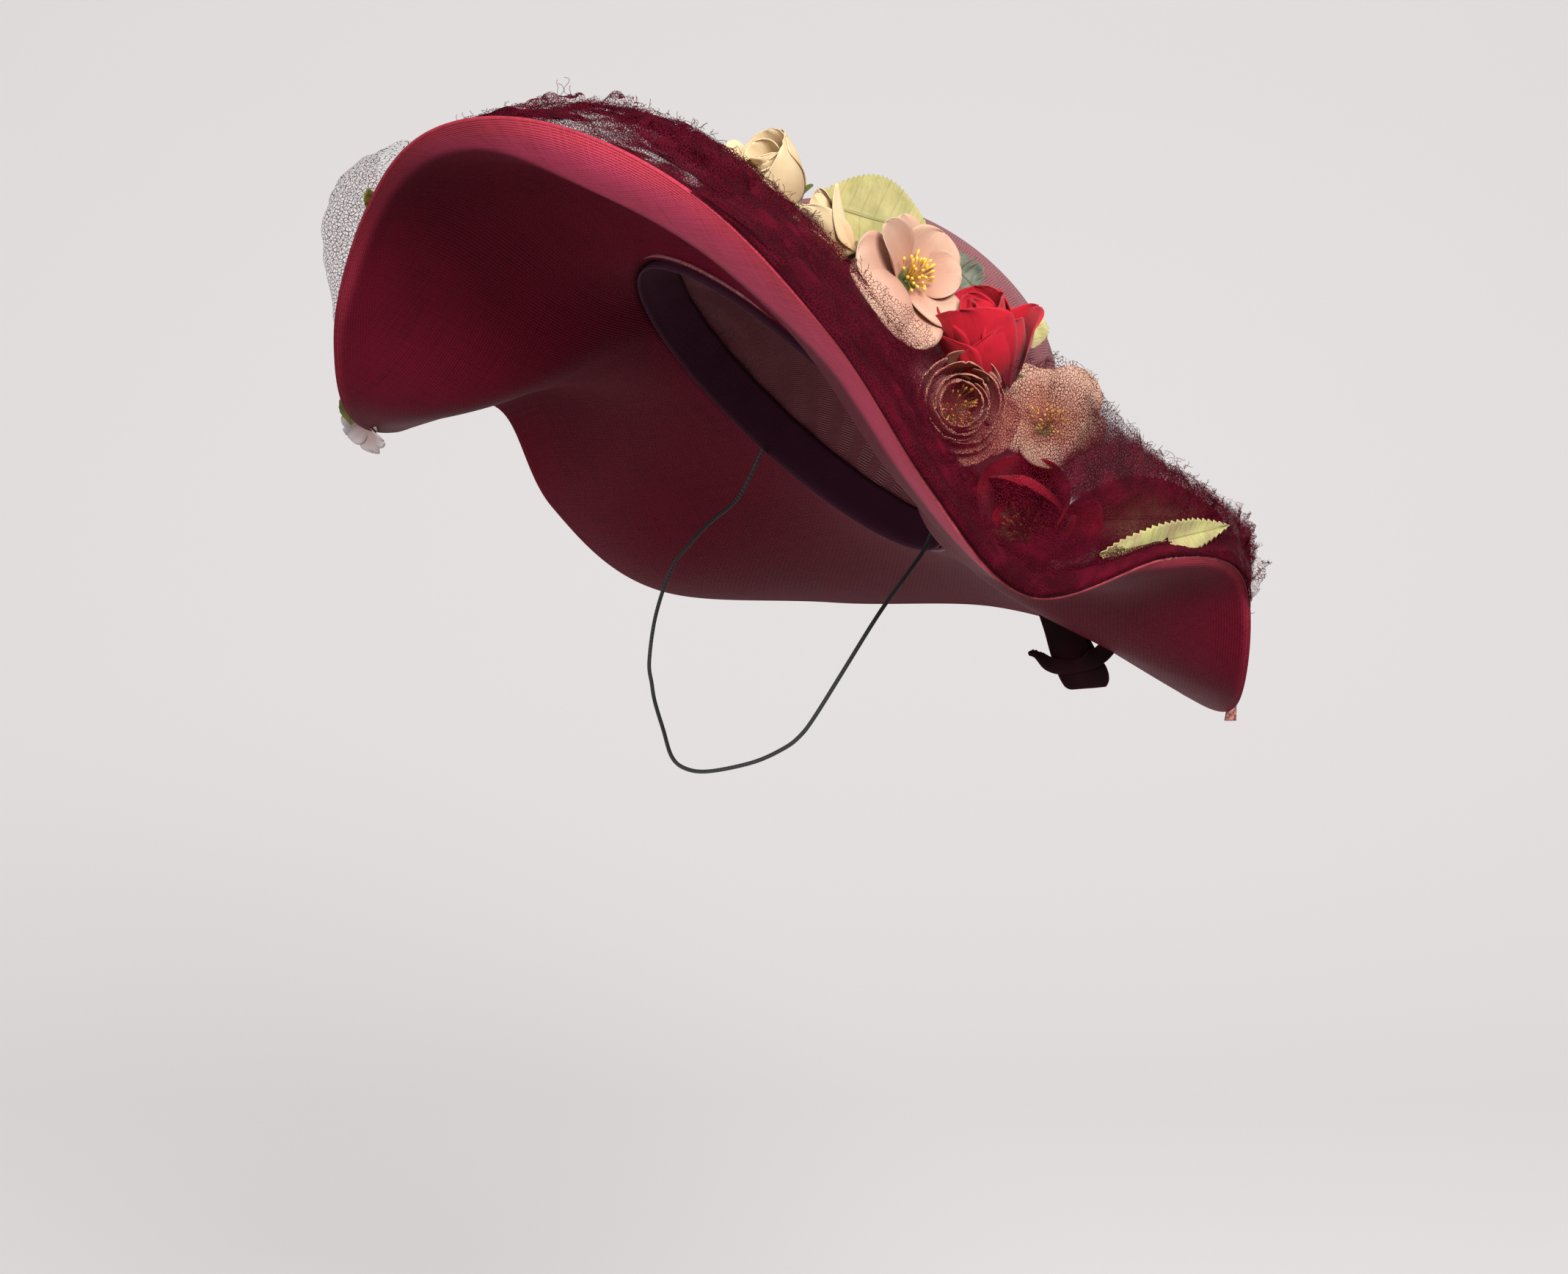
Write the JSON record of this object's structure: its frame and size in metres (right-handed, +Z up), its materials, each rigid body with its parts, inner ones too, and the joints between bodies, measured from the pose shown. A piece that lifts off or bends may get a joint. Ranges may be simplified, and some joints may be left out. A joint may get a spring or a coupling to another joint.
{
  "type": "wide-brim straw picture hat",
  "caption": "Wide straw hat with a wavy brim, worn tilted back: round crown, silk flowers and leaves, gathered net, velvet bow and chin elastic.",
  "frame": {"origin": "middle of the head opening, where the hat sits on the head", "axes": "+Z up as worn, the wearer faces -Y, +X is the wearer's left; the hat is tilted 47 degrees back"},
  "size_m": [0.4087, 0.3665, 0.3018],
  "materials": {
    "brim_straw": "woven straw, satin",
    "crown_straw": "woven straw, matt",
    "velvet": "velvet, matt",
    "silk_red": "silk, matt",
    "silk_pink": "silk, matt",
    "silk_dark_red": "silk, matt",
    "silk_beige": "silk, matt",
    "silk_cream": "silk with brown edges, matt",
    "silk_pale": "silk, matt",
    "stamens": "stiffened thread, matt",
    "leaf_green": "starched cloth, satin",
    "leaf_grey": "starched cloth, satin",
    "leaf_beige": "starched cloth, satin",
    "leaf_brown": "starched cloth, satin",
    "leaf_olive": "starched cloth, satin",
    "net": "fine silk net, sheer",
    "elastic": "covered round elastic, matt"
  },
  "bodies": {
    "root": {"crown": "crown_straw", "brim": "brim_straw", "head_ribbon": "velvet", "red_rose": "silk_red", "pink_blossom": "silk_pink", "dark_red_rose": "silk_dark_red", "beige_blossom": "silk_beige", "beige_ranunculus": "silk_beige", "cream_rosebud": "silk_cream", "cream_bud": "silk_cream", "pale_blossom": "silk_pale", "pink_stamens": "stamens", "ranunculus_stamens": "stamens", "dark_rose_stamens": "stamens", "green_leaf": "leaf_green", "grey_leaf": "leaf_grey", "rose_leaf": "leaf_green", "beige_leaf": "leaf_beige", "light_leaf": "leaf_green", "brown_leaf": "leaf_brown", "front_leaf": "leaf_olive", "far_leaf": "leaf_olive", "net_band": "net", "net_puff": "net", "velvet_strap": "velvet", "velvet_tail": "velvet", "chin_elastic": "elastic"}
  },
  "joints": []
}
